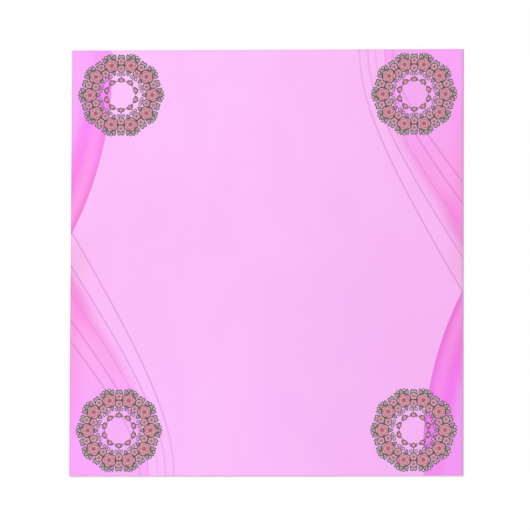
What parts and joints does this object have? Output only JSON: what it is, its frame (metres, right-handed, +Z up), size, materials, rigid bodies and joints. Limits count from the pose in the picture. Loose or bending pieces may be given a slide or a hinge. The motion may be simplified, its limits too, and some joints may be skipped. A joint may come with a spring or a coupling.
{
  "type": "notepad",
  "caption": "Notepad of pink printed sheets glued along the top edge to a chipboard back, with curved side bands, fine lines and a floral wreath in each corner.",
  "frame": {"origin": "under the middle of the pad, on the face of the chipboard that it rests on", "axes": "+Z up out of the written face, +Y towards the glued top edge, +X to the reader's right"},
  "size_m": [0.1397, 0.1526, 0.0053],
  "materials": {
    "sheets": "uncoated writing paper, the face printed all over in a soft pink",
    "board": "bare grey-brown chipboard",
    "glue": "thin film of dried padding adhesive, slightly glossy",
    "ink_band": "printed orchid pink",
    "ink_streak": "printed magenta pink",
    "ink_tint": "printed mid pink",
    "ink_hairline": "printed mauve",
    "ink_dark": "printed dark plum grey",
    "ink_leaf": "printed sage green",
    "ink_cream": "printed cream",
    "ink_rose": "printed dusty rose",
    "ink_petal": "printed light peach rose",
    "ink_bloom": "printed pale rose",
    "ink_heart": "printed deep rose"
  },
  "bodies": {
    "root": {"backing_board": "board", "page_block": "sheets", "padding_glue": "glue", "print_bands": "ink_band", "print_streaks": "ink_streak", "print_fan_tints": "ink_tint", "print_hairlines": "ink_hairline", "wreath_key_lines": "ink_dark", "wreath_leaves": "ink_leaf", "wreath_berries": "ink_cream", "wreath_roses": "ink_rose", "wreath_rose_centres": "ink_petal", "wreath_blooms": "ink_bloom", "wreath_hearts": "ink_heart"}
  },
  "joints": []
}
